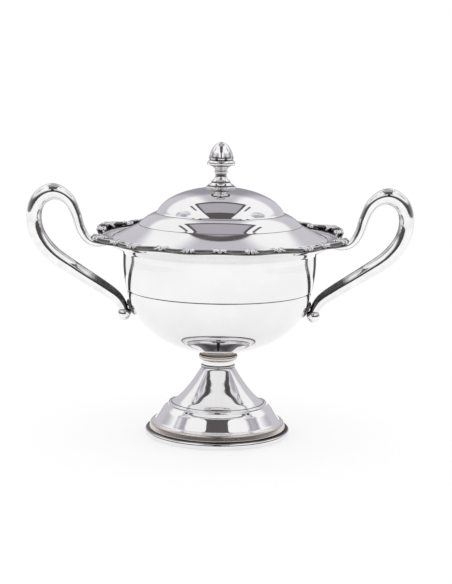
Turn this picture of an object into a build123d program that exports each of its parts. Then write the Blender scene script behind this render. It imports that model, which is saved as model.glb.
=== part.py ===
from build123d import *
from math import acos, cos, degrees, radians, sin, sqrt
import os

# A two-handled covered sugar bowl in polished silver, in millimetres.
# The origin is the centre of the foot on the table, +Z is up and the handles lie along X.

# ---- driving dimensions ----------------------------------------------------------------------
sheet = 1.0                     # spun sheet of bowl, lid and foot
slant = 0.7                     # share of the sheet that a slanted wall steps in and down

# foot
foot_radius = 37.8              # outside of the wire that the bowl stands on
foot_wire_height = 3.6
foot_wire_width = 3.2
foot_wire_land = 0.5            # flat that is left in the middle of the wire's round side
foot_band_height = 4.0          # near-vertical band above the wire
foot_band_lean = 0.7            # the band leans in this much
foot_band_round = 0.9           # and rounds over this far below its top
foot_shoulder = 1.7             # top of the band inside its lower edge
foot_ledge = 1.4                # small ledge between band and lower cone
foot_ledge_rise = 0.2
foot_step_radius = 25.6         # step between lower and upper cone
foot_step_height = 16.9
foot_riser = 0.8                # the step's short riser
foot_riser_lean = 0.3
foot_step_ledge = 1.3
foot_step_ledge_rise = 0.4
foot_trumpet_out = 5.6          # the upper cone's curve passes this far outside the waist
foot_trumpet_down = 8.9         # at this far below it
foot_waist_radius = 8.4
foot_height = 36.0

# collar between foot and bowl
collar_radius = 10.2
collar_height = 7.6
collar_bore = 5.5
collar_lip = 0.9
collar_bite = 0.2               # how far its edge laps up the bowl
collar_root_out = 0.35          # its flare, out from and up from the foot's waist
collar_root_up = 2.2
collar_flare_out = 0.8
collar_flare_up = 3.8

# bowl
lower_radius = 47.4             # lower bowl at the seam
lower_depth = 33.4              # seam down to the bowl's lowest point
seam_step = 0.5                 # the upper body overhangs the lower bowl by this much
wall_height = 17.3              # seam up to the top of the bulged wall
wall_bulge = 2.1                # furthest bulge beyond the wall's lower edge
wall_bulge_up = 10.38           # height of that bulge above the seam
wall_top_lean = 1.2             # top of the wall beyond its lower edge
cove_reach = 2.9                # cove from the wall out to the flange
cove_rise = 3.9
seat_rise = 2.1                 # underside of the lid's seat above the cove
seat_width = 2.6
seat_side_gap = 0.8             # between the lid's edge and the seat's outer edge
flange_width = 6.9              # from the lid's seat out to the flange's edge
flange_rise = 2.3               # flange edge above the lid's seat
flange_land = 3.4               # flat edge that the border is soldered to

# cast border
border_reach = 5.4              # its mean outer edge beyond the flange
border_wave = 1.5               # how far its lobes stand out and in
border_lobes = 14
border_pinch = 6.2              # drawn in by this much at each handle
border_pinch_angle = 15.0       # half-width of that drawn-in stretch, degrees
border_height = 2.9

# lid
lid_overlap = 3.5               # the lid's edge lies this far outside the bowl's cove
lid_edge = 2.4                  # height of the lid's plain edge
lid_seat_gap = 0.15
lid_skirt_rise = 6.65           # plain edge up to the lower step
lid_skirt_hollow = 0.6
lid_skirt_width = 14.3          # plain edge in to the lower step
lid_band_rise = 5.15            # lower step up to the upper step
lid_band_bulge_out = 0.66
lid_band_bulge_up = 0.88
lid_band_width = 8.8            # lower step in to the upper step
lid_step_rise = 0.7             # riser of each step
lid_step_ledge = 0.7
lid_dome_spread = 0.9           # the dome's ellipse is this much wider than the upper step
lid_dome_rise = 16.4
lid_land_radius = 8.2           # small flat on top that carries the finial
bezel_gap = 0.9                 # between bezel and bowl mouth
bezel_depth = 6.5
bezel_cover = 0.6               # sheet of the skirt that is left above the bezel

# finial
stud_radius = 1.5
stud_gap = 0.06
stud_length = 17.0
stud_in_cup = 1.5
finial_base_radius = 7.7
finial_base_height = 9.8
finial_base_edge = 0.6
finial_flare_out = 1.5          # the base's flare passes this far outside the neck
finial_flare_up = 3.6           # at this height
finial_neck_radius = 2.8
finial_neck_up = 7.2
finial_neck_lip = 0.6
finial_cup_radius = 7.15
finial_cup_height = 4.6
finial_cup_widest_up = 3.0
finial_bud_radius = 6.4
finial_bud_height = 9.2
finial_bud_side = (5.12, 4.78)  # two points on the bud's side, as (radius, height)
finial_bud_crown = (2.05, 8.1)
washer_radius = 4.2
washer_height = 0.8
nut_across_flats = 5.5
nut_height = 2.4

# handles
handle_ball_radius = 3.5
handle_ball_gap = 2.3           # between the ball and the bowl
handle_ball_drop = 13.9         # ball centre below the seam
handle_root_reach = 5.7         # the handle's upper end inside the flange's edge
handle_root_bite = 0.35         # and up into the flange's sheet
pad_radius = 4.4
pad_rise = 3.6                  # pad centre above the ball centre
pad_thickness = 2.3
pad_cut = 14.0                  # length of the round cutter that trims the pad

# Each handle's centre line in its own plane, as (out, up, tube radius). The upper stretch is
# measured from its root under the flange, and the lower stretch from the ball.
handle_upper = [
    (0.0, 0.0, 1.4),
    (6.0, -0.4, 1.9),
    (10.9, 1.9, 2.2),
    (14.3, 7.3, 2.4),
    (16.8, 15.3, 2.5),
    (21.1, 22.8, 3.1),
    (28.8, 26.1, 4.2),
    (35.8, 21.8, 4.0),
    (38.2, 13.4, 3.8),
    (36.1, 3.8, 3.9),
    (29.1, -5.7, 4.1),
    (17.5, -13.8, 3.8),
]
handle_lower = [
    (12.0, 14.2, 3.5),
    (4.6, 9.0, 3.1),
    (1.3, 4.8, 2.6),
    (0.2, 1.6, 2.1),
]

# ---- heights and radii that follow from them -------------------------------------------------
collar_sink = 0.3
seam_height = foot_height + collar_height + lower_depth - collar_sink
wall_radius = lower_radius + seam_step
wall_top = seam_height + wall_height
wall_top_radius = wall_radius + wall_top_lean
cove_radius = wall_top_radius + cove_reach
cove_top = wall_top + cove_rise
seat_top = cove_top + seat_rise + sheet
lid_radius = cove_radius + lid_overlap
seat_outer = lid_radius + seat_side_gap
flange_radius = seat_outer + flange_width
border_radius = flange_radius + border_reach
flange_top = seat_top + flange_rise
mouth_radius = wall_top_radius - sheet
lid_bottom = seat_top + lid_seat_gap
lid_lower_step_radius = lid_radius - lid_skirt_width
lid_upper_step_radius = lid_lower_step_radius - lid_band_width
lid_dome_radius = lid_upper_step_radius + lid_dome_spread
lid_lower_step = lid_bottom + lid_edge + lid_skirt_rise
lid_upper_step = lid_lower_step + lid_step_rise + lid_band_rise
ball_height = seam_height - handle_ball_drop


def lower_bowl_height(radius):
    """Height of the lower bowl's outside at a radius."""
    return seam_height - lower_depth * sqrt(1 - (radius / lower_radius) ** 2)


def lower_bowl_radius(height):
    """Outer radius of the lower bowl at a height."""
    return lower_radius * sqrt(1 - ((seam_height - height) / lower_depth) ** 2)


def flange_under(radius):
    """Height of the flange's underside at a radius between the lid's seat and the flat edge."""
    share = (radius - seat_outer) / (flange_radius - flange_land - seat_outer)
    return seat_top - sheet + share * (flange_top - seat_top)


def finish(piece, name):
    """Label a finished piece and write it out."""
    piece.part.label = name
    export_step(piece.part, f"parts/{name}.step")


os.makedirs("parts", exist_ok=True)

# ---- foot: a wire, a spun trumpet and a turned collar ----------------------------------------
with BuildPart() as foot_rim_wire:
    with BuildSketch(Plane.XZ):
        with Locations((foot_radius - foot_wire_width / 2, foot_wire_height / 2)):
            Rectangle(foot_wire_width, foot_wire_height)
        fillet(vertices().group_by(Axis.X)[-1], (foot_wire_height - foot_wire_land) / 2)
    revolve(axis=Axis.Z)
finish(foot_rim_wire, "foot_rim_wire")

band_radius = foot_radius - foot_wire_width + sheet
band_top = foot_wire_height + foot_band_height
shoulder_radius = band_radius - foot_shoulder
ledge_radius = foot_step_radius - foot_step_ledge


def foot_line(step_in):
    """Line of the foot's sheet from the shoulder to the waist, stepped in and down."""
    shoulder = (shoulder_radius - step_in, band_top - step_in)
    cone_bottom = (shoulder_radius - foot_ledge - step_in, band_top + foot_ledge_rise - step_in)
    cone_top = (foot_step_radius + foot_riser_lean - step_in, foot_step_height - foot_riser - step_in)
    step = (foot_step_radius - step_in, foot_step_height - step_in)
    ledge = (ledge_radius - step_in, foot_step_height + foot_step_ledge_rise - step_in)
    middle = (
        foot_waist_radius + foot_trumpet_out - step_in,
        foot_height - foot_trumpet_down - step_in,
    )
    waist = (foot_waist_radius - step_in, foot_height)
    Polyline(shoulder, cone_bottom, cone_top, step, ledge)
    Spline(ledge, middle, waist, tangents=[(-1.2, 1), (-0.15, 1)])
    return shoulder, waist


with BuildPart() as foot_shell:
    with BuildSketch(Plane.XZ):
        with BuildLine():
            outer_shoulder, outer_waist = foot_line(0)
            inner_shoulder, inner_waist = foot_line(slant * sheet)
            Line(outer_waist, inner_waist)
            Polyline(
                outer_shoulder,
                (band_radius - foot_band_lean, band_top - foot_band_round),
                (band_radius, foot_wire_height),
                (band_radius - sheet, foot_wire_height),
                (
                    band_radius - foot_band_lean - sheet,
                    band_top - foot_band_round - slant * sheet,
                ),
                inner_shoulder,
            )
        make_face()
    revolve(axis=Axis.Z)
finish(foot_shell, "foot_shell")

with BuildPart() as bowl_lower:
    with BuildSketch(Plane.XZ):
        with BuildLine():
            middle = (0, seam_height)
            EllipticalCenterArc(middle, lower_radius, lower_depth, -90, arc_size=90)
            Line((lower_radius, seam_height), (lower_radius - sheet, seam_height))
            EllipticalCenterArc(middle, lower_radius - sheet, lower_depth - sheet, -90, arc_size=90)
            Line((0, seam_height - lower_depth + sheet), (0, seam_height - lower_depth))
        make_face()
    revolve(axis=Axis.Z)
finish(bowl_lower, "bowl_lower")

collar_top = lower_bowl_height(collar_radius) + collar_bite
with BuildPart() as stem_collar:
    with BuildSketch(Plane.XZ):
        with BuildLine():
            Polyline(
                (foot_waist_radius, foot_height),
                (collar_bore, foot_height),
                (collar_bore, collar_top),
                (collar_radius, collar_top),
                (collar_radius, collar_top - collar_lip),
            )
            Spline(
                (collar_radius, collar_top - collar_lip),
                (foot_waist_radius + collar_flare_out, foot_height + collar_flare_up),
                (foot_waist_radius + collar_root_out, foot_height + collar_root_up),
                (foot_waist_radius, foot_height),
            )
        make_face()
    revolve(axis=Axis.Z)
    add(bowl_lower.part, mode=Mode.SUBTRACT)
finish(stem_collar, "stem_collar")

# ---- bowl: the upper body with its cove and flange, and the cast border ----------------------
with BuildPart() as bowl_upper:
    with BuildSketch(Plane.XZ):
        with BuildLine():
            for inset in (0, sheet):
                ThreePointArc(
                    (wall_radius - inset, seam_height),
                    (wall_radius + wall_bulge - inset, seam_height + wall_bulge_up),
                    (wall_top_radius - inset, wall_top),
                )
                TangentArc(
                    (wall_top_radius - inset, wall_top),
                    (cove_radius - slant * inset, cove_top + slant * inset),
                    tangent=(0, 1),
                )
            Line((wall_radius, seam_height), (wall_radius - sheet, seam_height))
            Polyline(
                (cove_radius, cove_top),
                (seat_outer, seat_top - sheet),
                (flange_radius - flange_land, flange_top - sheet),
                (flange_radius, flange_top - sheet),
                (flange_radius, flange_top),
                (flange_radius - flange_land, flange_top),
                (seat_outer, seat_top),
                (seat_outer - seat_width, seat_top),
                (cove_radius - slant * sheet, cove_top + slant * sheet),
            )
        make_face()
    revolve(axis=Axis.Z)
finish(bowl_upper, "bowl_upper")


def border_reach(angle):
    """Outer radius of the lobed border at an angle in degrees from the +X handle."""
    wave = border_wave * cos(radians(border_lobes * angle))
    off_handle = abs((angle + 90) % 180 - 90)
    if off_handle > border_pinch_angle:
        return border_radius + wave
    pinch = border_pinch * cos(radians(90 * off_handle / border_pinch_angle)) ** 2
    return border_radius + wave - pinch


points_per_lobe = 6
border_steps = border_lobes * points_per_lobe
border_angles = [360 * step / border_steps for step in range(border_steps)]
with BuildPart() as rim_border:
    with BuildSketch(Plane.XY.offset(flange_top)):
        with BuildLine():
            Spline(
                [
                    (border_reach(a) * cos(radians(a)), border_reach(a) * sin(radians(a)))
                    for a in border_angles
                ],
                periodic=True,
            )
        make_face()
        Circle(flange_radius - flange_land, mode=Mode.SUBTRACT)
    extrude(amount=border_height)
finish(rim_border, "rim_border")

# ---- handles: each a tapered loop with a ball end, on a small pad ----------------------------
ball_x = lower_bowl_radius(ball_height) + handle_ball_gap + handle_ball_radius
with BuildPart() as right_handle_ball:
    with Locations((ball_x, 0, ball_height)):
        Sphere(handle_ball_radius)
finish(right_handle_ball, "right_handle_ball")

with BuildPart() as right_handle_pad:
    with BuildSketch(Plane.XZ):
        with BuildLine():
            middle = (0, seam_height)
            pad_width, pad_depth = lower_radius + pad_thickness, lower_depth + pad_thickness
            EllipticalCenterArc(middle, lower_radius, lower_depth, -90, arc_size=90)
            Line((lower_radius, seam_height), (pad_width, seam_height))
            EllipticalCenterArc(middle, pad_width, pad_depth, -90, arc_size=90)
            Line((0, seam_height - pad_depth), (0, seam_height - lower_depth))
        make_face()
    revolve(axis=Axis.Z)
    with Locations(Location((ball_x, 0, ball_height + pad_rise), (0, 90, 0))):
        Cylinder(pad_radius, pad_cut, mode=Mode.INTERSECT)
    add(right_handle_ball.part, mode=Mode.SUBTRACT)
finish(right_handle_pad, "right_handle_pad")

root_x = flange_radius - handle_root_reach
root_z = flange_under(root_x) - handle_upper[0][2] + handle_root_bite
handle_route = [(root_x + out, root_z + up, radius) for out, up, radius in handle_upper]
handle_route += [(ball_x + out, ball_height + up, radius) for out, up, radius in handle_lower]
handle_route.append((ball_x, ball_height, handle_route[-1][2]))
with BuildPart() as right_handle:
    for index, (x, z, radius) in enumerate(handle_route):
        before = handle_route[max(index - 1, 0)]
        after = handle_route[min(index + 1, len(handle_route) - 1)]
        heading = (after[0] - before[0], 0, after[1] - before[1])
        with BuildSketch(Plane(origin=(x, 0, z), x_dir=(0, 1, 0), z_dir=heading)):
            Circle(radius)
    loft()
    add(bowl_upper.part, mode=Mode.SUBTRACT)
    add(right_handle_pad.part, mode=Mode.SUBTRACT)
    add(right_handle_ball.part, mode=Mode.SUBTRACT)
finish(right_handle, "right_handle")

with BuildPart() as left_handle:
    mirror(right_handle.part, about=Plane.YZ)
finish(left_handle, "left_handle")

with BuildPart() as left_handle_ball:
    mirror(right_handle_ball.part, about=Plane.YZ)
finish(left_handle_ball, "left_handle_ball")

with BuildPart() as left_handle_pad:
    mirror(right_handle_pad.part, about=Plane.YZ)
finish(left_handle_pad, "left_handle_pad")

# ---- lid: a stepped dome with a locating bezel soldered inside -------------------------------
dome_middle = lid_upper_step + lid_step_rise - lid_dome_rise * sqrt(
    1 - (lid_upper_step_radius / lid_dome_radius) ** 2
)


def lid_line(step_in):
    """Line of the lid's sheet from the skirt's edge to the flat on top, stepped in and down."""
    edge = (lid_radius - step_in, lid_bottom + lid_edge - min(step_in, lid_edge))
    skirt_top = (lid_lower_step_radius + lid_step_ledge - step_in, lid_lower_step - step_in)
    band_bottom = (
        lid_lower_step_radius - step_in,
        lid_lower_step + lid_step_rise - step_in,
    )
    band_top = (lid_upper_step_radius + lid_step_ledge - step_in, lid_upper_step - step_in)
    skirt_middle = (
        (edge[0] + skirt_top[0]) / 2,
        (edge[1] + skirt_top[1]) / 2 - lid_skirt_hollow,
    )
    band_middle = (
        (band_bottom[0] + band_top[0]) / 2 + lid_band_bulge_out,
        (band_bottom[1] + band_top[1]) / 2 + lid_band_bulge_up,
    )
    dome_width, dome_rise = lid_dome_radius - step_in, lid_dome_rise - step_in
    dome_edge = lid_upper_step_radius - step_in
    low = degrees(acos(dome_edge / dome_width))
    high = degrees(acos(lid_land_radius / dome_width))
    ThreePointArc(edge, skirt_middle, skirt_top)
    Line(skirt_top, band_bottom)
    ThreePointArc(band_bottom, band_middle, band_top)
    dome = EllipticalCenterArc((0, dome_middle), dome_width, dome_rise, low, arc_size=high - low)
    Line(band_top, dome @ 0)
    return edge, dome @ 1


with BuildPart() as lid_shell:
    with BuildSketch(Plane.XZ):
        with BuildLine():
            outer_edge, outer_crown = lid_line(0)
            inner_edge, inner_crown = lid_line(sheet)
            hole = stud_radius + stud_gap
            Polyline(outer_edge, (lid_radius, lid_bottom), inner_edge)
            Polyline(outer_crown, (hole, outer_crown.Y), (hole, inner_crown.Y), inner_crown)
        make_face()
    revolve(axis=Axis.Z)
finish(lid_shell, "lid_shell")
lid_top = outer_crown.Y
lid_under = inner_crown.Y

bezel_radius = mouth_radius - bezel_gap
skirt_slope = lid_skirt_rise / (lid_radius - lid_lower_step_radius - lid_step_ledge)
skirt_at_bezel = lid_bottom + lid_edge + skirt_slope * (lid_radius - bezel_radius)
bezel_top = skirt_at_bezel - lid_skirt_hollow - bezel_cover
bezel_bottom = lid_bottom - bezel_depth
with BuildPart() as lid_bezel:
    with BuildSketch(Plane.XZ):
        with Locations((bezel_radius - sheet / 2, (bezel_top + bezel_bottom) / 2)):
            Rectangle(sheet, bezel_top - bezel_bottom)
    revolve(axis=Axis.Z)
    add(lid_shell.part, mode=Mode.SUBTRACT)
finish(lid_bezel, "lid_bezel")

# ---- finial: base, cup and bud on a stud, held by a washer and nut inside the lid ------------
stud_top = lid_top + finial_base_height + stud_in_cup
with BuildPart() as finial_stud:
    with Locations((0, 0, stud_top)):
        Cylinder(stud_radius, stud_length, align=(Align.CENTER, Align.CENTER, Align.MAX))
finish(finial_stud, "finial_stud")

bore = stud_radius + stud_gap
base_top = lid_top + finial_base_height
with BuildPart() as finial_base:
    with BuildSketch(Plane.XZ):
        with BuildLine():
            Polyline(
                (finial_neck_radius + finial_neck_lip, base_top),
                (bore, base_top),
                (bore, lid_top),
                (finial_base_radius, lid_top),
                (finial_base_radius, lid_top + finial_base_edge),
            )
            Spline(
                (finial_base_radius, lid_top + finial_base_edge),
                (finial_neck_radius + finial_flare_out, lid_top + finial_flare_up),
                (finial_neck_radius, lid_top + finial_neck_up),
                (finial_neck_radius + finial_neck_lip, base_top),
                tangents=[(-1, 0.9), (0.6, 1)],
            )
        make_face()
    revolve(axis=Axis.Z)
finish(finial_base, "finial_base")

cup_top = base_top + finial_cup_height
with BuildPart() as finial_cup:
    with BuildSketch(Plane.XZ):
        with BuildLine():
            Polyline(
                (finial_neck_radius + finial_neck_lip, base_top),
                (0, base_top),
                (0, cup_top),
                (finial_bud_radius, cup_top),
            )
            Spline(
                (finial_bud_radius, cup_top),
                (finial_cup_radius, base_top + finial_cup_widest_up),
                (finial_neck_radius + finial_neck_lip, base_top),
            )
        make_face()
    revolve(axis=Axis.Z)
    with Locations((0, 0, stud_top)):
        Cylinder(
            bore,
            stud_length,
            align=(Align.CENTER, Align.CENTER, Align.MAX),
            mode=Mode.SUBTRACT,
        )
finish(finial_cup, "finial_cup")

bud_top = cup_top + finial_bud_height
with BuildPart() as finial_bud:
    with BuildSketch(Plane.XZ):
        with BuildLine():
            Polyline((0, bud_top), (0, cup_top), (finial_bud_radius, cup_top))
            Spline(
                (finial_bud_radius, cup_top),
                (finial_bud_side[0], cup_top + finial_bud_side[1]),
                (finial_bud_crown[0], cup_top + finial_bud_crown[1]),
                (0, bud_top),
            )
        make_face()
    revolve(axis=Axis.Z)
finish(finial_bud, "finial_bud")

with BuildPart() as finial_washer:
    with Locations((0, 0, lid_under)):
        Cylinder(washer_radius, washer_height, align=(Align.CENTER, Align.CENTER, Align.MAX))
        Cylinder(bore, 2 * washer_height, mode=Mode.SUBTRACT)
finish(finial_washer, "finial_washer")

with BuildPart() as finial_nut:
    with BuildSketch(Plane.XY.offset(lid_under - washer_height)):
        RegularPolygon(nut_across_flats / 2, 6, major_radius=False)
        Circle(bore, mode=Mode.SUBTRACT)
    extrude(amount=-nut_height)
finish(finial_nut, "finial_nut")

print(f"seam {seam_height:.1f}  flange {flange_top:.1f}  lid {lid_top:.1f}  top {bud_top:.1f}")
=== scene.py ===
from math import acos, atan, cos, exp, floor, hypot, pi, radians, sin, sqrt, tau

import bmesh
import bpy
from mathutils import Matrix, Vector


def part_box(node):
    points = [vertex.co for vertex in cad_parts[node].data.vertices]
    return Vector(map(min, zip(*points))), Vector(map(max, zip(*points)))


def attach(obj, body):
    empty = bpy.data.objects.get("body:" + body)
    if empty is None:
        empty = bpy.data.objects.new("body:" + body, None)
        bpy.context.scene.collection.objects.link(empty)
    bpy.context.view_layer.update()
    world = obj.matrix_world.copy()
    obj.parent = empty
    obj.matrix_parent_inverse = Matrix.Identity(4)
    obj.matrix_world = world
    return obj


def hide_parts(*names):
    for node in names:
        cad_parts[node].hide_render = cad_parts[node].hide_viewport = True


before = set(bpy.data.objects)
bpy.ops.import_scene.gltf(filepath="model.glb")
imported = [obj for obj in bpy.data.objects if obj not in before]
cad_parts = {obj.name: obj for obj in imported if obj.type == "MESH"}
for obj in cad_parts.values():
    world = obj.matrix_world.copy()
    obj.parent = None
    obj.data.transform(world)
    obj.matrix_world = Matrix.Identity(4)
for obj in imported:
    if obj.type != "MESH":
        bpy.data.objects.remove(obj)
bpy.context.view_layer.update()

mm = 0.001

# ==== FOOT WIRE ====
# The bowl stands on a drawn silver wire with a rounded outer side, bent into a ring and
# soldered under the edge of the foot. It takes all the wear, so it is a little duller.


def low_high(node):
    """Lowest and highest corner of a CAD node, in millimetres."""
    low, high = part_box(node)
    return low / mm, high / mm


def rounded(corners, closed=True, steps=5):
    """An outline of (radius, height) points. A corner given as (radius, height, round) is eased."""
    count = len(corners)
    outline = []
    for index, corner in enumerate(corners):
        here = Vector(corner[:2])
        ends = not closed and index in (0, count - 1)
        if len(corner) == 2 or ends:
            outline.append(tuple(here))
            continue
        back = Vector(corners[index - 1][:2]) - here
        ahead = Vector(corners[(index + 1) % count][:2]) - here
        cut = min(corner[2], 0.49 * back.length, 0.49 * ahead.length)
        start, end = here + back.normalized() * cut, here + ahead.normalized() * cut
        for step in range(steps + 1):
            t = step / steps
            outline.append(tuple((1 - t) ** 2 * start + 2 * t * (1 - t) * here + t * t * end))
    return outline


def fine(outline, closed=True, longest=0.9):
    """The same outline with points added, so that no stretch of it is longer than longest."""
    dense = []
    pairs = list(zip(outline, outline[1:] + outline[:1] if closed else outline[1:]))
    for (r0, z0), (r1, z1) in pairs:
        parts = max(1, round(hypot(r1 - r0, z1 - z0) / longest))
        dense += [(r0 + (r1 - r0) * k / parts, z0 + (z1 - z0) * k / parts) for k in range(parts)]
    return dense if closed else dense + [outline[-1]]


def bow(start, end, rise, steps=24):
    """Points from start to end on a shallow curve that stands out by rise on its left."""
    (r0, z0), (r1, z1) = start, end
    across = hypot(r1 - r0, z1 - z0)
    left = ((z0 - z1) / across, (r1 - r0) / across)
    curve = []
    for step in range(steps + 1):
        t = step / steps
        out = 4 * rise * t * (1 - t)
        curve.append((r0 + (r1 - r0) * t + left[0] * out, z0 + (z1 - z0) * t + left[1] * out))
    return curve


def turned(outline, turns=192, shape=None):
    """Points and faces of a closed outline turned round the upright axis.
    shape(radius, height, angle) may give another radius where the piece isn't round."""
    points, faces, rings = [], [], []
    for radius, height in outline:
        if radius < 1e-4:
            rings.append([len(points)] * turns)
            points.append((0.0, 0.0, height))
            continue
        rings.append(list(range(len(points), len(points) + turns)))
        for turn in range(turns):
            angle = tau * turn / turns
            reach = shape(radius, height, angle) if shape else radius
            points.append((reach * cos(angle), reach * sin(angle), height))
    for ring, after in zip(rings, rings[1:] + rings[:1]):
        if ring[0] == ring[1] and after[0] == after[1]:
            continue
        for turn in range(turns):
            beside = (turn + 1) % turns
            corners = [ring[turn], ring[beside], after[beside], after[turn]]
            faces.append(list(dict.fromkeys(corners)))
    return points, faces


def piece(name, parts, metal, body, nodes, hollow=None, crisp=None):
    """One object made of (points, faces) parts in millimetres, standing for its CAD nodes.
    The darkness function gives each point a value from 0 to 1 for the black: tarnish deep in
    recesses, and painted shade and painted reflection on handles, balls, pads and scrolls."""
    points, faces = [], []
    for part_points, part_faces in parts:
        start = len(points)
        points += [Vector(point) for point in part_points]
        faces += [[start + corner for corner in face] for face in part_faces]
    mesh = bpy.data.meshes.new(name)
    mesh.from_pydata([point * mm for point in points], [], faces)
    sorted_faces = bmesh.new()
    sorted_faces.from_mesh(mesh)
    bmesh.ops.recalc_face_normals(sorted_faces, faces=sorted_faces.faces)
    sorted_faces.to_mesh(mesh)
    sorted_faces.free()
    mesh.shade_smooth()
    if crisp:
        mesh.set_sharp_from_angle(angle=radians(crisp))
    if hollow:
        depth = mesh.attributes.new("hollow", "FLOAT", "POINT")
        depth.data.foreach_set("value", [hollow(point) for point in points])
    mesh.materials.append(metal)
    made = bpy.data.objects.new(name, mesh)
    bpy.context.scene.collection.objects.link(made)
    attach(made, body)
    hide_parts(*nodes)
    return made


class Value:
    """A socket in a material. Sums on it add Math nodes, and node() adds any other node."""

    def __init__(self, tree, socket):
        self.tree, self.socket = tree, socket

    def node(self, kind, settings=None, inputs=None, output=0):
        made = self.tree.nodes.new("ShaderNode" + kind)
        for name, setting in (settings or {}).items():
            if name == "stops":
                ramp = made.color_ramp.elements
                while len(ramp) < len(setting):
                    ramp.new(0.5)
                for stop, (position, colour) in zip(ramp, setting):
                    stop.position, stop.color = position, colour
            else:
                setattr(made, name, setting)
        for name, value in (inputs or {}).items():
            if isinstance(value, Value):
                self.tree.links.new(value.socket, made.inputs[name])
            else:
                made.inputs[name].default_value = value
        return Value(self.tree, made.outputs[output])

    def math(self, operation, *others):
        return self.node("Math", {"operation": operation}, dict(enumerate((self, *others))))

    def __add__(self, other):
        return self.math("ADD", other)

    def __mul__(self, other):
        return self.math("MULTIPLY", other)

    def __sub__(self, other):
        return self.math("SUBTRACT", other)

    def __rsub__(self, other):
        return self.node("Math", {"operation": "SUBTRACT"}, {0: other, 1: self})

    def __truediv__(self, other):
        return self.math("DIVIDE", other)

    __radd__, __rmul__ = __add__, __mul__

    def rise(self, low, high):
        """0 below low, 1 above high, and a soft rise between them."""
        limits = {"Value": self, "From Min": low, "From Max": high}
        return self.node("MapRange", {"interpolation_type": "SMOOTHSTEP"}, limits)

    def between(self, first, second):
        """The first colour where this value is 0, and the second where it is 1."""
        colours = {0: self, 6: first, 7: second}
        return self.node("Mix", {"data_type": "RGBA"}, colours, output=2)

    def noise(self, scale, detail=3.0):
        """Cloudy noise at this place, with so many clouds to the metre."""
        return self.node("TexNoise", None, {"Vector": self, "Scale": scale, "Detail": detail})

    def parts(self):
        """The x, y and z of a place."""
        split = self.tree.nodes.new("ShaderNodeSeparateXYZ")
        self.tree.links.new(self.socket, split.inputs[0])
        return [Value(self.tree, socket) for socket in split.outputs]

    def place(self, x, y, z):
        """A place from three values."""
        return self.node("CombineXYZ", None, {0: x, 1: y, 2: z})

    def to(self, socket):
        self.tree.links.new(self.socket, socket)


def new_metal(name):
    """A bare metal, the shader in it, and the place on the piece that its nodes start from."""
    made = bpy.data.materials.new(name)
    made.use_nodes = True
    shader = made.node_tree.nodes["Principled BSDF"]
    shader.inputs["Metallic"].default_value = 1.0
    coordinates = made.node_tree.nodes.new("ShaderNodeTexCoord")
    return made, shader, Value(made.node_tree, coordinates.outputs["Object"])


def spun_silver(name, roughness=0.035, wave=0.00004, seams=(), grey_band=None):
    """Sheet silver that was spun on a chuck and buffed: faint turning lines, long shallow
    waves left by the spinning tool, cloudy wiping marks and a few hairline scratches.
    seams are (height, half-width) in mm that hold brown tarnish. The last argument is a (bottom,
    top) stretch that is rougher and a browner grey."""
    duller, brighter = (0.86, 0.855, 0.862, 1), (0.905, 0.90, 0.903, 1)
    band_grey, tarnish_brown = (0.62, 0.56, 0.51, 1), (0.05, 0.038, 0.03, 1)
    made, shader, place = new_metal(name)
    x, y, z = place.parts()
    out = (x * x + y * y).math("SQRT")
    cloud = place.noise(46.0, 4.0)
    wiping = place.place(x * 60.0, y * 60.0, z * 420.0).noise(1.0, 5.0)
    scratch = place.place(x * 900.0, y * 70.0, (z + x) * 300.0).noise(1.0, 2.0)
    scratched = scratch.rise(0.68, 0.72)
    colour = cloud.rise(0.3, 0.75).between(duller, brighter)
    dullness = roughness + 0.035 * wiping.rise(0.4, 0.8) + 0.05 * scratched * cloud
    if grey_band:
        bottom, top = grey_band
        above, below = z.rise((bottom - 0.1) * mm, (bottom + 0.2) * mm), z.rise((top - 0.6) * mm, top * mm)
        in_band = above * (1 - below)
        colour = (in_band * (0.55 + 0.4 * wiping)).between(colour, band_grey)
        dullness = dullness + 0.2 * in_band
    for height, half in seams:
        near = 1 - (z - height * mm).math("ABSOLUTE").rise(0.4 * half * mm, 1.3 * half * mm)
        stain = near * (0.65 + 0.35 * cloud.rise(0.3, 0.6))
        colour = stain.between(colour, tarnish_brown)
        dullness = dullness + 0.25 * stain
    colour.to(shader.inputs["Base Color"])
    dullness.to(shader.inputs["Roughness"])
    lines = place.place(out * 3000.0, z * 3000.0, 0.0).noise(1.0, 1.0)
    shallow = place.noise(30.0, 1.0)
    turning = place.node("Bump", None, {"Strength": 0.35, "Distance": 0.0000015, "Height": lines})
    waved = place.node(
        "Bump", None, {"Strength": 1.0, "Distance": wave, "Height": shallow, "Normal": turning}
    )
    waved.to(shader.inputs["Normal"])
    return made


wire_high = low_high("foot_rim_wire")[1]
foot_radius, wire_height = wire_high.x, wire_high.z
band_height, step_height = 4.0, 16.9
wire_seam, step_seam = (wire_height + 0.05, 0.4), (step_height + 0.5, 0.12)
foot_silver = spun_silver("foot_silver", roughness=0.045, wave=0.00006,
                          seams=[wire_seam, step_seam],
                          grey_band=(wire_height, wire_height + band_height))
wire_width, wire_round, wire_corner = 3.2, 1.75, 0.5
wire_outline = rounded([
    (foot_radius - wire_width, 0.0, wire_corner),
    (foot_radius, 0.0, wire_round),
    (foot_radius, wire_height, wire_round),
    (foot_radius - wire_width, wire_height, wire_corner),
], steps=9)
piece("foot_rim_wire", [turned(fine(wire_outline, longest=0.5))], foot_silver,
      "bowl", ["foot_rim_wire"])

# ==== FOOT ====
# The trumpet-shaped foot is spun from one disc of sheet silver: an upright band, a broad
# lower cone, a crisp step, and an upper cone that sweeps up to the narrow waist.
shell_high = low_high("foot_shell")[1]
sheet = 1.0
band_radius, foot_height = shell_high.x, shell_high.z
band_top = wire_height + band_height
step_radius, waist_radius = 25.6, 8.4


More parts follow.
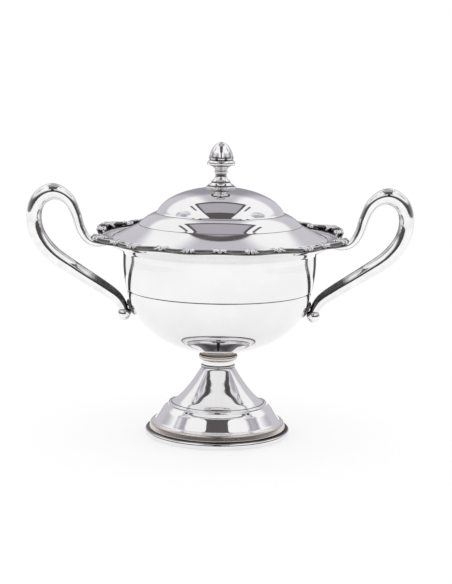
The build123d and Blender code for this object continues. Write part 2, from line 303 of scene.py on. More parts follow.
def walled(line, thickness=sheet):
    """A closed outline from a fine line: the line, and back along it a sheet's thickness inside."""
    inner = []
    for index, (radius, height) in enumerate(line):
        r0, z0 = line[max(index - 1, 0)]
        r1, z1 = line[min(index + 1, len(line) - 1)]
        length = hypot(r1 - r0, z1 - z0)
        inner.append((radius - thickness * (z1 - z0) / length, height + thickness * (r1 - r0) / length))
    return line + [(max(radius, 0.0), height) for radius, height in reversed(inner)]


def flowing(points, steps=10):
    """A smooth line through a few points of any size, as evenly eased as a bent spline."""
    ends = [2 * points[0] - points[1], *points, 2 * points[-1] - points[-2]]
    line = []
    for before, start, end, after in zip(ends, ends[1:], ends[2:], ends[3:]):
        for step in range(steps):
            t = step / steps
            line.append(0.5 * (
                2 * start + (end - before) * t
                + (2 * before - 5 * start + 4 * end - after) * t ** 2
                + (3 * start - before - 3 * end + after) * t ** 3
            ))
    return line + [points[-1]]


trumpet = [(24.4, 17.3), (22.6, 18.1), (20.6, 19.5), (17.2, 23.0), (14.0, 27.1), (11.2, 31.2),
           (9.1, 34.6), (waist_radius, foot_height)]
foot_line = rounded([
    (band_radius, wire_height),
    (band_radius - 0.7, band_top - 0.9, 1.4),
    (band_radius - 1.9, band_top - 0.1, 0.5),
    (band_radius - 3.1, band_top + 0.2, 0.5),
    (step_radius + 2.6, step_height - 2.6, 2.4),
    (step_radius + 0.3, step_height - 0.9, 0.3),
    (step_radius, step_height, 0.45),
    (step_radius - 1.0, step_height + 0.2, 0.3),
], closed=False)
foot_line += [tuple(point) for point in flowing([Vector(point) for point in trumpet])]
piece("foot_shell", [turned(walled(fine(foot_line, closed=False)))], foot_silver,
      "bowl", ["foot_shell"])

# ==== COLLAR ====
# A small turned collar joins the foot to the bowl. It flares up from the waist and ends in
# a thin rounded lip that is soldered round the bottom of the bowl.
collar_high = low_high("stem_collar")[1]
collar_radius, collar_top = collar_high.x, collar_high.z
collar_bore = 5.5
collar_flare = foot_height + 3.9
collar_silver = spun_silver("collar_silver", roughness=0.05, seams=[
    (foot_height + 0.05, 0.3), (foot_height + 1.15, 0.3), (collar_flare, 0.35),
    (foot_height + 6.5, 0.45), (collar_top - 0.75, 0.3),
], grey_band=(collar_flare, collar_top + 0.3))
collar_outline = rounded([
    (collar_bore, foot_height - 0.4),
    (waist_radius - 0.2, foot_height - 0.4),
    (waist_radius + 0.55, foot_height - 0.2, 0.4),
    (waist_radius + 0.55, foot_height + 0.7, 0.4),
    (waist_radius - 0.15, foot_height + 1.1, 0.4),
    (waist_radius, foot_height + 3.2, 0.8),
    (waist_radius + 0.35, collar_flare, 0.4),
    (collar_radius - 0.35, foot_height + 4.0, 0.7),
    (collar_radius + 0.05, foot_height + 5.4, 1.2),
    (collar_radius - 0.9, foot_height + 6.9, 0.8),
    (collar_radius - 0.5, collar_top - 0.75, 0.2),
    (collar_radius, collar_top - 0.6, 0.25),
    (collar_radius, collar_top - 0.1, 0.25),
    (collar_radius - 1.6, collar_top - 0.5),
    (collar_bore, collar_top - 2.2),
])
piece("stem_collar", [turned(fine(collar_outline, longest=0.4))], collar_silver,
      "bowl", ["stem_collar"])

# ==== LOWER BOWL ====
# The lower half of the body is a spun half-egg of sheet silver. It tucks inside the upper
# body's edge, which leaves a thin dark line all round the middle.
lower_low, lower_high = low_high("bowl_lower")
lower_radius, seam_height = lower_high.x, lower_high.z
lower_depth = seam_height - lower_low.z
bowl_silver = spun_silver("bowl_silver", seams=[(seam_height - 0.12, 0.22)])
lower_line = []
for step in range(97):
    angle = radians(90 * step / 96)
    lower_line.append((lower_radius * sin(angle), seam_height - lower_depth * cos(angle)))
piece("bowl_lower", [turned(walled(lower_line), turns=224)], bowl_silver,
      "bowl", ["bowl_lower"])

# ==== UPPER BOWL ====
# The upper half is one spun ring: a gently bulging wall, a cove that turns out, a narrow flat
# seat for the lid, and a rising flange whose flat edge carries the cast border.
upper_high = low_high("bowl_upper")[1]
flange_radius, flange_top = upper_high.x, upper_high.z
seam_step, wall_height, wall_lean, flange_rise = 0.5, 17.3, 1.7, 2.3
wall_radius = lower_radius + seam_step
wall_top = seam_height + wall_height
wall_top_radius = wall_radius + wall_lean
seat_top = flange_top - flange_rise
seat_inner, seat_outer = 53.7, 56.3
flange_land = 3.4


def wall_curve(inset):
    """The bulged wall and the cove above it, from the seam up, moved in by inset."""
    start = Vector((wall_radius - inset, seam_height))
    end = Vector((wall_top_radius - inset, wall_top))
    middle = Vector((wall_radius + 1.1 - inset, seam_height + 6.0))
    bulge = Vector((wall_radius + 1.65 - inset, seam_height + 11.8))
    return [tuple(point) for point in flowing([start, middle, bulge, end])]


upper_outline = rounded([
    (wall_radius - sheet, seam_height + 0.1), (wall_radius, seam_height),
    *wall_curve(0)[1:],
    (wall_top_radius + 0.1, wall_top + 2.4, 2.2),
    (wall_top_radius + 2.4, wall_top + 3.9, 1.2),
    (seat_outer, seat_top - sheet, 0.8),
    (flange_radius - flange_land, flange_top - sheet, 0.8),
    (flange_radius, flange_top - sheet, 0.35),
    (flange_radius, flange_top, 0.35),
    (flange_radius - flange_land, flange_top, 0.8),
    (seat_outer, seat_top, 0.5),
    (seat_inner, seat_top, 0.6),
    (wall_top_radius - 0.6, wall_top + 3.4, 1.6),
    *reversed(wall_curve(sheet)[1:]),
])
piece("bowl_upper", [turned(fine(upper_outline), turns=224)], bowl_silver,
      "bowl", ["bowl_upper"])

# ==== CAST BORDER ====
# The border is cast silver, chased and soldered to the flange: a lobed band with a fluted
# shell on each lobe, a C-shaped scroll on each side of it, and beads in the notches. Its
# hollows keep the black tarnish that polishing leaves, and the outward side of each scroll's
# middle has painted shade.
lobes = 14
lobe_angle = 360 / lobes
border_radius, border_wave, edge_width = 68.6, 1.5, 0.9
border_inner = flange_radius - flange_land
pinch, pinch_angle = 6.2, 15.0


def off_handle(angle):
    """Degrees between a direction and the nearer handle."""
    return abs((angle + 90) % 180 - 90)


def rim_reach(angle):
    """Outer radius of the border in a direction in degrees."""
    wave = border_wave * cos(radians(lobes * angle))
    if off_handle(angle) > pinch_angle:
        return border_radius + wave
    return border_radius + wave - pinch * cos(radians(90 * off_handle(angle) / pinch_angle)) ** 2


def rim_swell(angle):
    """The ornament is larger on the two stretches beside each handle."""
    return 1 + 0.3 * exp(-((off_handle(angle) - 27) / 9) ** 2)


def on_rim(angle, along, inward, up):
    """A place on the border: along it and inward from its edge, seen from a direction."""
    there = angle + along / radians(border_radius - 2)
    swell = rim_swell(there)
    radius = rim_reach(there) - inward
    return Vector((radius * cos(radians(there)), radius * sin(radians(there)), flange_top + up * swell))


def strand(path, radii, sides=10, upward=Vector((0, 0, 1)), cap=3):
    """Points and faces of a round bar along a path, with its own radius at each point
    and rounded ends."""
    path, radii = list(path), list(radii)
    head, tail = (path[0] - path[1]).normalized(), (path[-1] - path[-2]).normalized()
    front = [(path[0] + head * radii[0] * sin(pi / 2 * k / cap), radii[0] * cos(pi / 2 * k / cap))
             for k in range(cap, 0, -1)]
    back = [(path[-1] + tail * radii[-1] * sin(pi / 2 * k / cap), radii[-1] * cos(pi / 2 * k / cap))
            for k in range(1, cap + 1)]
    rings = front + list(zip(path, radii)) + back
    points, faces = [], []
    for index, (middle, radius) in enumerate(rings):
        before, after = rings[max(index - 1, 0)][0], rings[min(index + 1, len(rings) - 1)][0]
        ahead = (after - before).normalized()
        across = upward.cross(ahead).normalized()
        rise = ahead.cross(across)
        for side in range(sides):
            turn = tau * side / sides
            points.append(middle + max(radius, 0.01) * (across * cos(turn) + rise * sin(turn)))
    for ring in range(len(rings) - 1):
        for side in range(sides):
            beside = (side + 1) % sides
            first, second = ring * sides, (ring + 1) * sides
            faces.append([first + side, first + beside, second + beside, second + side])
    faces.append(list(range(sides)))
    faces.append(list(range(len(points) - sides, len(points))))
    return points, faces


def cast_silver(name, black_strength=0.85, roughness=0.09):
    """Cast silver: a softer polish than the sheet, a faintly grained skin, and black where each
    point's darkness value asks for it: tarnish where a cloth can't reach, and painted shade and
    painted reflection on handles, balls, pads and border scrolls."""
    made, shader, place = new_metal(name)
    hollow = place.node("Attribute", {"attribute_name": "hollow"}, None, output=2)
    cloud = place.noise(240.0, 4.0)
    grain = place.noise(2600.0, 2.0)
    # the black is tarnish in recesses, and painted shade and painted reflection where a piece asks for
    # them
    dark = (hollow * 1.25 + (cloud - 0.5) * 0.5).rise(0.35, 0.95) * black_strength
    bright = cloud.rise(0.3, 0.7).between((0.85, 0.845, 0.85, 1), (0.935, 0.93, 0.925, 1))
    dark.between(bright, (0.055, 0.048, 0.045, 1)).to(shader.inputs["Base Color"])
    (roughness + 0.3 * dark + 0.05 * cloud).to(shader.inputs["Roughness"])
    skin = place.node("Bump", None, {"Strength": 0.5, "Distance": 0.000006, "Height": grain})
    waved = place.node(
        "Bump", None, {"Strength": 0.8, "Distance": 0.00005, "Height": cloud, "Normal": skin}
    )
    waved.to(shader.inputs["Normal"])
    return made


border_silver = cast_silver("border_silver")
band_section = [(0.0, 0.0), (0.0, 0.4), (0.03, 0.55), (0.30, 0.6), (0.42, 0.35), (0.60, 0.3),
                (0.80, 0.45), (0.92, 0.85), (0.97, 0.8), (0.985, 0.4), (0.95, 0.05), (0.9, 0.0),
                (0.5, 0.0)]


def band_shape(share, height, angle):
    """The band's own radius where its outline asks for a share of its width."""
    return border_inner + (rim_reach(angle / radians(1)) - edge_width - border_inner) * share


band_points, band_faces = turned([(share + 1e-3, flange_top + up) for share, up in band_section],
                                 turns=lobes * 30, shape=band_shape)
border_parts = [(band_points, band_faces)]

scroll_half, scroll_steps = 9.2, 26
scroll_side = []
heading, along, inward = 0.0, 0.0, 0.0
for step in range(scroll_steps + 1):
    share = step / scroll_steps
    scroll_side.append((along, inward, share))
    stride = scroll_half / scroll_steps
    heading += (0.06 + 2.5 * share ** 4) * stride
    along += cos(heading) * stride
    inward += sin(heading) * stride
scroll = [(-along, inward, share) for along, inward, share in reversed(scroll_side[1:])]
scroll += scroll_side


def add_scroll(middle, size):
    """A C-shaped scroll that lies along the edge, with its two ends curled in."""
    path = [on_rim(middle, along * size, 1.15 + inward * size, 1.6 + 0.3 * share ** 2)
            for along, inward, share in scroll]
    radii = [size * (1.1 - 0.4 * share ** 2 + 0.3 * share ** 8) for along, inward, share in scroll]
    border_parts.append(strand(path, radii))


def add_shell(middle, size):
    """A fan of ribs that swell towards the edge, with a bead at its root."""
    ribs = 7
    for rib in range(ribs):
        lean = radians(-66 + 132 * rib / (ribs - 1))
        path, radii = [], []
        for step in range(9):
            share = step / 8
            reach = size * (0.7 + 4.1 * share * (1 - 0.12 * abs(sin(lean))))
            path.append(on_rim(middle, reach * sin(lean), 5.3 * size - reach * cos(lean),
                               0.9 + 1.5 * sin(pi * (0.15 + 0.7 * share))))
            radii.append(size * (0.28 + 0.52 * share))
        border_parts.append(strand(path, radii, sides=8, cap=2))
    root = [on_rim(middle, shift, 5.6 * size, 0.95) for shift in (-0.35, 0.0, 0.35)]
    border_parts.append(strand(root, [0.85, 1.0, 0.85], sides=10))


def add_beads(middle, size):
    """Beads and two small leaves in the notch between two lobes."""
    beads = ((0.0, 1.6, 1.25), (-1.6, 3.1, 0.8), (1.6, 3.1, 0.8), (0.0, 4.3, 0.8))
    for shift, inward, radius in beads:
        bead = [on_rim(middle, shift + step, inward * size, 1.5) for step in (-0.2, 0.0, 0.2)]
        border_parts.append(strand(bead, [radius * size] * 3, sides=10))
    for side in (-1, 1):
        path = [on_rim(middle, side * (1.0 + 4.4 * k / 8), 4.6 - 0.6 * sin(pi * k / 8), 0.75)
                for k in range(9)]
        radii = [0.75 * sin(pi * (0.12 + 0.8 * k / 8)) for k in range(9)]
        border_parts.append(strand(path, radii, sides=8))


for lobe in range(lobes):
    middle = lobe * lobe_angle
    if off_handle(middle) > 5:
        add_shell(middle, rim_swell(middle))
    for side in (-1, 1):
        beside = middle + side * lobe_angle / 4
        if off_handle(beside) > 8:
            add_scroll(beside, rim_swell(beside) ** 0.5)
    add_beads(middle + lobe_angle / 2, rim_swell(middle + lobe_angle / 2))


def border_tarnish_and_shade(point):
    """How dark a point of the border is: tarnish as deep as it lies between the raised parts, and
    painted shade on the outward side of each scroll's middle, where no hollow is modelled."""
    radius = hypot(point.x, point.y)
    angle = Vector((point.x, point.y)).angle_signed(Vector((1, 0)), 0.0) / radians(1)
    depth = 1 - (point.z - flange_top) / (2.3 * rim_swell(angle))
    inside = (radius - border_inner - 1.2) / 1.5
    beside = abs((angle / lobe_angle * 2) % 1 - 0.5)
    level = abs((point.z - flange_top) / rim_swell(angle) - 1.5)
    # painted shade on the outward side of each scroll's middle, where no hollow is modelled
    painted_scroll_shade = min(1.0, 3.2 - 9.0 * beside, 2.6 - 2.2 * level)
    return max(0.0, min(1.0, inside, max(1.8 * depth - 0.2, painted_scroll_shade)))


piece("rim_border", border_parts, border_silver, "bowl", ["rim_border"],
      hollow=border_tarnish_and_shade)

# ==== HANDLES ====
# Each handle is one cast and filed bar of round silver. It leaves the underside of the flange
# thin, loops up and over, and tapers down to a ball that stands off the bowl on a small pad.
# The black on the handles is painted reflection and painted shade, not tarnish.
handle_silver = cast_silver("handle_silver", black_strength=0.92, roughness=0.045)
pad_silver = cast_silver("pad_silver", black_strength=0.9, roughness=0.07)
root_inside, root_drop = 5.7, 3.56


def painted_handle_darks(path, side):
    """Painted darks on a handle's inner side: a thin painted shade round the inner edge of the
    loop, and black painted reflection along the lower limb towards the bowl, fainter behind."""

    def hollow(point):
        nearest = min(range(1, len(path) - 1), key=lambda k: (path[k] - point).length_squared)
        ahead = (path[nearest + 1] - path[nearest - 1]).normalized()
        inside = Vector((side * ahead.z, 0, -side * ahead.x))
        facing = (point - path[nearest]).normalized().dot(inside)
        share = nearest / len(path)
        limb = max(0.0, min(1.0, (share - 0.74) / 0.05))
        loop = max(0.0, min(1.0, (share - 0.15) / 0.1))
        front = 1 if point.y < 0 else 0.6
        return front * max(limb * min(1.0, 4.0 * (facing - 0.05)), loop * (facing - 0.42))

    return hollow


upper_route = [(0.0, 0.0, 1.4), (6.0, -0.4, 1.9), (10.9, 1.9, 2.2), (14.3, 7.3, 2.4),
               (16.8, 15.3, 2.5), (21.1, 22.8, 3.1), (28.8, 26.1, 4.2), (35.8, 21.8, 4.0),
               (38.2, 13.4, 3.8), (36.1, 3.8, 3.9), (29.1, -5.7, 4.1), (17.5, -13.8, 3.8)]
lower_route = [(12.0, 14.2, 3.5), (4.6, 9.0, 3.1), (1.3, 4.8, 2.6), (0.2, 2.6, 2.1)]
# The last value is painted shade laid over the whole of each pad, between the ball and the bowl.
pad_radius, pad_rise, pad_thickness, pad_painted_shade = 4.4, 3.6, 2.3, 0.8

for side, hand in ((1, "right"), (-1, "left")):
    ball_low, ball_high = low_high(hand + "_handle_ball")
    ball = (ball_low + ball_high) / 2
    ball_radius = (ball_high.z - ball_low.z) / 2
    route = [Vector((flange_radius - root_inside + out, flange_top - root_drop + up, radius))
             for out, up, radius in upper_route]
    route += [Vector((abs(ball.x) + out, ball.z + up, radius)) for out, up, radius in lower_route]
    line = flowing(route, steps=12)
    path = [Vector((side * point.x, 0, point.y)) for point in line]
    radii = [point.z for point in line]
    bar = strand(path, radii, sides=40, upward=Vector((0, 1, 0)), cap=6)
    piece(hand + "_handle", [bar], handle_silver, "bowl", [hand + "_handle"],
          hollow=painted_handle_darks(path, side))

    ball_outline = []
    for step in range(33):
        angle = pi * step / 32 - pi / 2
        flat = 1 - 0.06 * cos(angle) ** 8
        ball_outline.append((ball_radius * cos(angle), ball_radius * sin(angle) * flat))
    bead_points, bead_faces = turned(ball_outline[1:-1], turns=48)
    bead_points = [Vector((point[0], point[1], point[2])) + ball for point in bead_points]
    # The upper half of each ball is painted darker: a painted reflection.
    piece(hand + "_handle_ball", [(bead_points, bead_faces)], handle_silver, "bowl",
          [hand + "_handle_ball"],
          hollow=lambda point: max(0.0, (point.z - ball.z) / ball_radius - 0.1))

    pad_middle = ball.z + pad_rise
    pad_points, pad_faces = [], []
    rings, spokes = 14, 48
    for ring in range(rings + 1):
        share = ring / rings
        for spoke in range(spokes):
            turn = tau * spoke / spokes
            reach = pad_radius * share * (1 + 0.05 * cos(5 * turn + pi / 2))
            y, z = reach * cos(turn), pad_middle + reach * sin(turn)
            level = sqrt(max(0.0, 1 - ((seam_height - z) / lower_depth) ** 2))
            bowl_x = sqrt(max(0.0, (lower_radius * level) ** 2 - y * y))
            dome = pad_thickness * (1 - share ** 4) ** 0.5 * (0.8 + 0.12 * cos(10 * turn) * share)
            pad_points.append(Vector((side * (bowl_x + dome - 0.25), y, z)))
    for ring in range(rings):
        for spoke in range(spokes):
            beside = (spoke + 1) % spokes
            first, second = ring * spokes, (ring + 1) * spokes
            pad_faces.append([first + spoke, first + beside, second + beside, second + spoke])
    back = [Vector((point.x - side * 0.6, point.y, point.z)) for point in pad_points[-spokes:]]
    start = len(pad_points)
    pad_points += back
    for spoke in range(spokes):
        beside = (spoke + 1) % spokes
        pad_faces.append([start - spokes + spoke, start - spokes + beside, start + beside, start + spoke])
    pad_faces.append(list(range(start, start + spokes)))
    # Each pad is painted dark all over: painted shade between the ball and the bowl.
    piece(hand + "_handle_pad", [(pad_points, pad_faces)], pad_silver, "bowl",
          [hand + "_handle_pad"], hollow=lambda point: pad_painted_shade)

# ==== LID ====
# The lid is spun from one disc: a thin plain edge, a slightly hollow skirt, a convex band
# between two crisp steps, and a domed crown with a small flat for the finial.
lid_low, lid_high = low_high("lid_shell")
lid_radius, lid_bottom, lid_top = lid_high.x, lid_low.z, lid_high.z
lower_step, upper_step = 41.2, 32.4
edge_rise, skirt_rise, step_rise, band_rise, ledge = 2.4, 6.65, 0.7, 5.15, 0.7
edge_height = lid_bottom + edge_rise
lower_step_height = edge_height + skirt_rise
upper_step_height = lower_step_height + step_rise + band_rise
lid_silver = spun_silver("lid_silver", seams=[
    (lid_bottom, 0.15), (lower_step_height + 0.02, 0.12), (upper_step_height + 0.02, 0.1)])
dome_radius, dome_rise, land_radius = 33.3, 16.4, 8.2
stud_hole = 1.56
skirt_hollow, band_bulge = 0.25, 0.55
dome_middle = upper_step_height + step_rise - dome_rise * sqrt(1 - (upper_step / dome_radius) ** 2)
dome_start, dome_end = acos(upper_step / dome_radius), acos(land_radius / dome_radius)
dome = []
for step in range(49):
    angle = dome_start + (dome_end - dome_start) * step / 48
    dome.append((dome_radius * cos(angle), dome_middle + dome_rise * sin(angle)))
skirt = bow((lid_radius - 0.2, edge_height + 0.2), (lower_step + ledge, lower_step_height),
            skirt_hollow)
band = bow((lower_step, lower_step_height + step_rise), (upper_step + ledge, upper_step_height),
           -band_bulge)
lid_line = rounded([
    (lid_radius, lid_bottom),
    (lid_radius, edge_height, 0.7),
    *skirt[2:-1],
    (*skirt[-1], 0.3),
    (*band[0], 0.3),
    *band[1:-1],
    (*band[-1], 0.25),
    (*dome[0], 0.3),
    *dome[1:],
    (stud_hole, lid_top),
], closed=False)
lid_outline = walled(fine(lid_line, closed=False))
piece("lid_shell", [turned(lid_outline, turns=224)], lid_silver, "lid", ["lid_shell"])

# ==== BEZEL ====
# A plain ring of flat silver wire, soldered inside the lid, drops into the bowl's mouth and
# keeps the lid central. Its lower edge is eased so that it finds its way in.
bezel_low, bezel_high = low_high("lid_bezel")
bezel_radius = bezel_high.x
bezel_outline = rounded([
    (bezel_radius - sheet, bezel_low.z, 0.35),
    (bezel_radius, bezel_low.z, 0.5),
    (bezel_radius, bezel_high.z - 0.3),
    (bezel_radius - sheet, bezel_high.z),
])
piece("lid_bezel", [turned(fine(bezel_outline))], lid_silver, "lid", ["lid_bezel"])

# ==== FINIAL ====
# Three turned castings stacked on a stud: a flared base with turned rings, a shallow cup with a
# rounded rim, and a bud with shallow flutes. Tarnish sits in the grooves and between the flutes.
base_low, base_high = low_high("finial_base")
cup_low, cup_high = low_high("finial_cup")
bud_low, bud_high = low_high("finial_bud")
finial_silver = cast_silver("finial_silver", black_strength=0.9, roughness=0.05)
base_radius, base_top = base_high.x, base_high.z
cup_radius, cup_top = cup_high.x, cup_high.z
bud_radius, bud_top = bud_high.x, bud_high.z
base_outline = rounded([
    (stud_hole, base_low.z),
    (base_radius, base_low.z, 0.3),
    (base_radius, base_low.z + 0.75, 0.35),
    (base_radius - 0.5, base_low.z + 1.0, 0.15),
    (base_radius - 0.75, base_low.z + 1.1, 0.15),
    (base_radius - 1.0, base_low.z + 1.6, 0.4),
    (base_radius - 2.6, base_low.z + 2.7, 0.8),
    (base_radius - 2.9, base_low.z + 3.2, 0.3),
    (base_radius - 2.7, base_low.z + 3.6, 0.3),
    (base_radius - 3.5, base_low.z + 4.1, 0.3),
    (3.1, base_low.z + 5.5, 0.6),
    (2.9, base_low.z + 6.6, 0.3),
    (2.8, base_low.z + 7.4, 0.3),
    (3.5, base_low.z + 8.0, 0.4),
    (3.5, base_low.z + 8.7, 0.4),
    (2.9, base_low.z + 9.2, 0.2),
    (3.4, base_top, 0.1),
    (stud_hole, base_top),
])


def turned_hollow(shoulders):
    """Tarnish for turned work: dark where a point lies well inside the line of its shoulders."""

    def hollow(point):
        radius = hypot(point.x, point.y)
        for height, shoulder in shoulders:
            if abs(point.z - height) < 0.45 and radius < shoulder:
                return min(1.0, (shoulder - radius) * 2.5)
        return 0.0

    return hollow


piece("finial_base", [turned(fine(base_outline, longest=0.3), turns=96)], finial_silver,
      "lid", ["finial_base"],
      hollow=turned_hollow([(base_low.z + 1.2, base_radius - 0.3), (base_low.z + 3.2, 5.2),
                            (base_low.z + 7.4, 3.1), (base_low.z + 9.2, 3.2)]))
cup_outline = rounded([
    (0.0, cup_low.z + 0.02),
    (3.35, cup_low.z, 0.1),
    (3.6, cup_low.z + 0.5, 0.3),
    (4.7, cup_low.z + 1.5, 0.8),
    (6.4, cup_low.z + 2.0, 0.4),
    (cup_radius - 0.1, cup_low.z + 2.35, 0.3),
    (cup_radius, cup_low.z + 2.9, 0.4),
    (cup_radius - 0.1, cup_low.z + 3.6, 0.5),
    (cup_radius - 0.6, cup_low.z + 4.2, 0.4),
    (bud_radius - 0.4, cup_top, 0.2),
    (0.0, cup_top),
])
piece("finial_cup", [turned(fine(cup_outline, longest=0.3), turns=96)], finial_silver,
      "lid", ["finial_cup"],
      hollow=turned_hollow([(cup_low.z + 1.9, cup_radius - 0.6), (cup_low.z + 4.6, bud_radius)]))
flutes, flute_depth = 8, 0.06
bud_height = bud_top - bud_low.z
bud_side = flowing([Vector(point) for point in [
    (0.93 * bud_radius, 0.0), (bud_radius, 0.1 * bud_height), (0.93 * bud_radius, 0.3 * bud_height),
    (0.80 * bud_radius, 0.55 * bud_height), (0.56 * bud_radius, 0.8 * bud_height),
    (0.26 * bud_radius, 0.95 * bud_height), (0.0, bud_height),
]])
bud_outline = [(0.0, bud_low.z)] + [(max(point.x, 0.0), bud_low.z + point.y) for point in bud_side]


def flute(radius, height, angle):
    """The bud's radius with its shallow flutes, which die out towards the tip."""
    share = (height - bud_low.z) / bud_height
    return radius * (1 - flute_depth * (1 - share) * abs(sin(flutes * angle / 2)) ** 4)


def flute_hollow(point):
    """Dark between the flutes, most of all at the foot of the bud."""
    angle = Vector((point.x, point.y)).angle_signed(Vector((1, 0)), 0.0)
    share = (point.z - bud_low.z) / bud_height
    return max(0.0, min(1.0, (1.1 * abs(sin(flutes * angle / 2)) ** 6 + 0.15) * (1 - 2.6 * share)))


piece("finial_bud", [turned(bud_outline, turns=flutes * 16, shape=flute)], finial_silver,
      "lid", ["finial_bud"], hollow=flute_hollow)

# ==== FINIAL FIXING ====
# A threaded brass stud runs up through the lid into the cup of the finial. A washer and a hexagon
# nut inside the lid pull the finial down.
stud_low, stud_high = low_high("finial_stud")
washer_low, washer_high = low_high("finial_washer")
nut_low, nut_high = low_high("finial_nut")
stud_radius = stud_high.x
thread_pitch, thread_depth = 0.5, 0.22


def turned_brass(name):
    """Machined brass: fine tool lines round it, and a dull gold colour with browner clouds."""
    brown, gold = (0.56, 0.38, 0.17, 1), (0.83, 0.62, 0.32, 1)
    made, shader, place = new_metal(name)
    x, y, z = place.parts()
    out = (x * x + y * y).math("SQRT")
    tool = place.place(out * 9000.0, z * 9000.0, 0.0).noise(1.0, 1.0)
    cloud = place.noise(300.0, 4.0)
    cloud.rise(0.3, 0.7).between(brown, gold).to(shader.inputs["Base Color"])
    (0.22 + 0.2 * cloud + 0.08 * tool).to(shader.inputs["Roughness"])
    place.node("Bump", None, {"Strength": 0.4, "Distance": 0.000008, "Height": tool}).to(
        shader.inputs["Normal"]
    )
    return made


fixing_brass = turned_brass("fixing_brass")


def thread(radius, height, angle):
    """The stud's radius with its screw thread cut in."""
    lead = (height / thread_pitch - angle / tau) % 1.0
    if radius < stud_radius - 0.2:
        return radius
    return radius - thread_depth * abs(2 * lead - 1)


thread_steps = 8
stud_steps = floor((stud_high.z - stud_low.z) / thread_pitch) * thread_steps
stud_outline = [(0.0, stud_low.z), (stud_radius - 0.4, stud_low.z)]
for step in range(1, stud_steps):
    stud_outline.append((stud_radius, stud_low.z + (stud_high.z - stud_low.z) * step / stud_steps))
stud_outline += [(stud_radius - 0.4, stud_high.z), (0.0, stud_high.z)]
piece("finial_stud", [turned(stud_outline, turns=32, shape=thread)], fixing_brass,
      "lid", ["finial_stud"])

washer_radius = washer_high.x
washer_outline = rounded([
    (stud_hole, washer_low.z, 0.1),
    (washer_radius, washer_low.z, 0.25),
    (washer_radius, washer_high.z, 0.1),
    (stud_hole, washer_high.z),
])
piece("finial_washer", [turned(fine(washer_outline, longest=0.4), turns=64)], fixing_brass,
      "lid", ["finial_washer"])

nut_flat, nut_chamfer = nut_high.y, 0.35


def hexagon(radius, height, angle):
    """The nut's radius: six flats, and the corners turned off at both ends."""
    if radius < nut_flat - 0.1:
        return radius
    across = nut_flat / cos((angle + pi / 6) % (pi / 3) - pi / 6)
    end = min(height - nut_low.z, nut_high.z - height)
    return min(across, nut_flat + 0.1 + end / nut_chamfer * 0.35)


nut_outline = fine([
    (stud_hole, nut_low.z), (nut_flat - 0.2, nut_low.z), (nut_flat, nut_low.z),
    (nut_flat, nut_high.z), (nut_flat - 0.2, nut_high.z), (stud_hole, nut_high.z),
], longest=0.12)
piece("finial_nut", [turned(nut_outline, turns=96, shape=hexagon)], fixing_brass,
      "lid", ["finial_nut"], crisp=35)

# ==== STUDIO ====
# A white sweep for a floor, and a cloth tent round the bowl. Polished silver shows only what
# stands round it, so the tent has two broad soft lights, a roof opening and a dark front.
world = bpy.data.worlds.new("studio_white")
world.use_nodes = True
world.node_tree.nodes["Background"].inputs["Color"].default_value = (1, 1, 1, 1)
world.node_tree.nodes["Background"].inputs["Strength"].default_value = 1.0
bpy.context.scene.world = world
bpy.context.scene.view_settings.view_transform = "Standard"


def stage_object(name, mesh, look):
    """Part of the studio, not of the bowl."""
    mesh.materials.append(look)
    made = bpy.data.objects.new(name, mesh)
    bpy.context.scene.collection.objects.link(made)
    return made


sweep_width, sweep_front, sweep_back = 0.6, 1.1, 0.42
floor_mesh = bpy.data.meshes.new("studio_floor")
edge = []
for step in range(96):
    angle = tau * step / 96
    reach = sweep_back if sin(angle) > 0 else sweep_front
    edge.append((sweep_width * cos(angle), reach * sin(angle), 0))
floor_mesh.from_pydata(edge, [], [list(range(96))])
floor_look = bpy.data.materials.new("pale_floor")
floor_look.use_nodes = True
floor_shader = floor_look.node_tree.nodes["Principled BSDF"]
floor_shader.inputs["Base Color"].default_value = (0.5, 0.5, 0.5, 1)
floor_shader.inputs["Roughness"].default_value = 0.9
floor_shader.inputs["Specular IOR Level"].default_value = 0.0
floor_shader.inputs["Emission Color"].default_value = (1, 1, 1, 1)
floor_shader.inputs["Emission Strength"].default_value = 0.54
stage_object("studio_floor", floor_mesh, floor_look)

tent_radius = 3.5
tent_mesh = bpy.data.meshes.new("studio_tent")
tent = bmesh.new()
bmesh.ops.create_icosphere(tent, subdivisions=5, radius=tent_radius)
tent.to_mesh(tent_mesh)
tent.free()
tent_look = bpy.data.materials.new("tent_cloth")
tent_look.use_nodes = True
tent_tree = tent_look.node_tree
tent_tree.nodes.clear()
glow = tent_tree.nodes.new("ShaderNodeEmission")
surface = tent_tree.nodes.new("ShaderNodeOutputMaterial")
tent_tree.links.new(glow.outputs[0], surface.inputs["Surface"])
place = Value(tent_tree, tent_tree.nodes.new("ShaderNodeTexCoord").outputs["Object"])
x, y, z = place.node("VectorMath", {"operation": "NORMALIZE"}, {0: place}).parts()
side, height = x.math("ABSOLUTE"), z.math("MAXIMUM", 0.02)
forward = (0 - y).math("MAXIMUM", 0.02)
across, along_roof = side / height, y / height
soft_light, roof_dark, roof_opening, room_dark = 1.08, 0.11, 0.34, 0.02
# low cloth all round is grey, and the two soft lights begin above it
cloth = 0.08 + 0.14 * y.rise(-0.7, 0.1) + 0.40 * y.rise(0.2, 0.7)
lit = (z - 0.20 * y.rise(0.5, 0.85)).rise(0.30, 0.55)
light = cloth * (1 - lit) + soft_light * lit
light = light * (1 - 0.45 * y.rise(0.28, 0.42) * (1 - side.rise(0.10, 0.24)))
# a blotchy grey patch shows through the middle of each soft light
patch_side, patch_up = side - 0.70, z - 0.66
patch_away = (patch_side * patch_side + y * y + patch_up * patch_up).math("SQRT")
patch = 1 - patch_away.rise(0.16, 0.27)
blotch = place.noise(1.6, 3.0).rise(0.35, 0.6)
light = light * (1 - patch * (0.25 + 0.35 * blotch))
# a dark rail runs along the inner edge of each soft light
rail = across.rise(0.43, 0.44) * (1 - across.rise(0.48, 0.49))
rail = rail * along_roof.rise(0.02, 0.06) * (1 - along_roof.rise(0.42, 0.48))
light = light * (1 - 0.85 * rail * z.rise(0.3, 0.4))
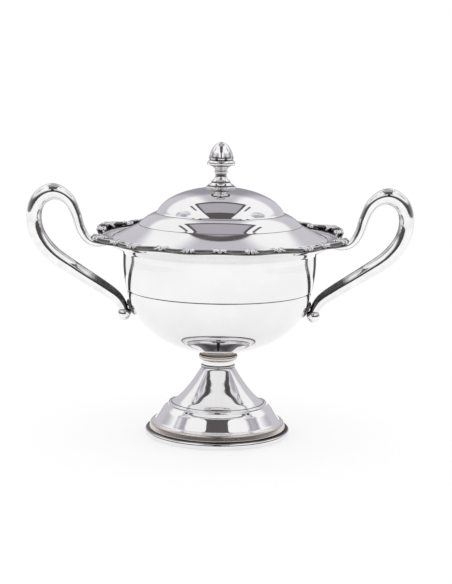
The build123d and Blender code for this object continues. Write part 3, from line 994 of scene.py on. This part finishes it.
# the roof has a grey opening with a dark hem, and is dark in front of it
hem = (1 - across.rise(0.36, 0.37)) * (1 - along_roof.rise(0.53, 0.54)) * z.rise(0.55, 0.62)
opening = (1 - across.rise(0.31, 0.33)) * (1 - along_roof.rise(0.42, 0.46))
opening = opening * along_roof.rise(-0.24, -0.2)
light = light * (1 - hem) + hem * (roof_dark + roof_opening * opening)
front = (1 - (side / forward).rise(0.42, 0.50)) * z.rise(0.56, 0.66)
front = front * (0 - along_roof).rise(0.2, 0.25)
light = light * (1 - front) + front * roof_dark
# the dark room shows where the camera looks in
room = (1 - (side / forward).rise(0.09, 0.16)) * z.rise(0.03, 0.09) * (1 - z.rise(0.55, 0.66))
light = light * (1 - room) + room * room_dark
# below the tent the sweep is white, except far behind the bowl, where the room is dark
below = (0 - z).rise(-0.01, 0.01)
light = light * (1 - below) + below * (1.0 - 0.9 * y.rise(0.85, 0.88))
place.node("ValToRGB", {"stops": [
    (0.0, (0.0, 0.0, 0.0, 1)), (0.12, (0.12, 0.11, 0.115, 1)), (0.4, (0.40, 0.38, 0.42, 1)),
    (0.7, (0.70, 0.69, 0.73, 1)), (1.0, (1.0, 1.0, 1.0, 1)),
]}, {"Fac": light}).to(glow.inputs["Color"])
tent_object = stage_object("studio_tent", tent_mesh, tent_look)
for rays in ("camera", "diffuse", "shadow", "transmission", "volume_scatter"):
    setattr(tent_object, "visible_" + rays, False)

# The camera stands a little above the lid and looks slightly down at the bowl.
camera_distance, camera_height = 0.849, 0.212
camera_pitch, camera_roll = atan(0.1615), radians(0.9)
camera_data = bpy.data.cameras.new("studio_camera")
camera_data.lens = 102.45
camera_data.sensor_width = 36.0
camera_data.shift_x = 0.0117
camera = bpy.data.objects.new("studio_camera", camera_data)
bpy.context.scene.collection.objects.link(camera)
camera.matrix_world = (
    Matrix.Translation((0, -camera_distance, camera_height))
    @ Matrix.Rotation(pi / 2 - camera_pitch, 4, "X")
    @ Matrix.Rotation(camera_roll, 4, "Z")
)
bpy.context.scene.camera = camera
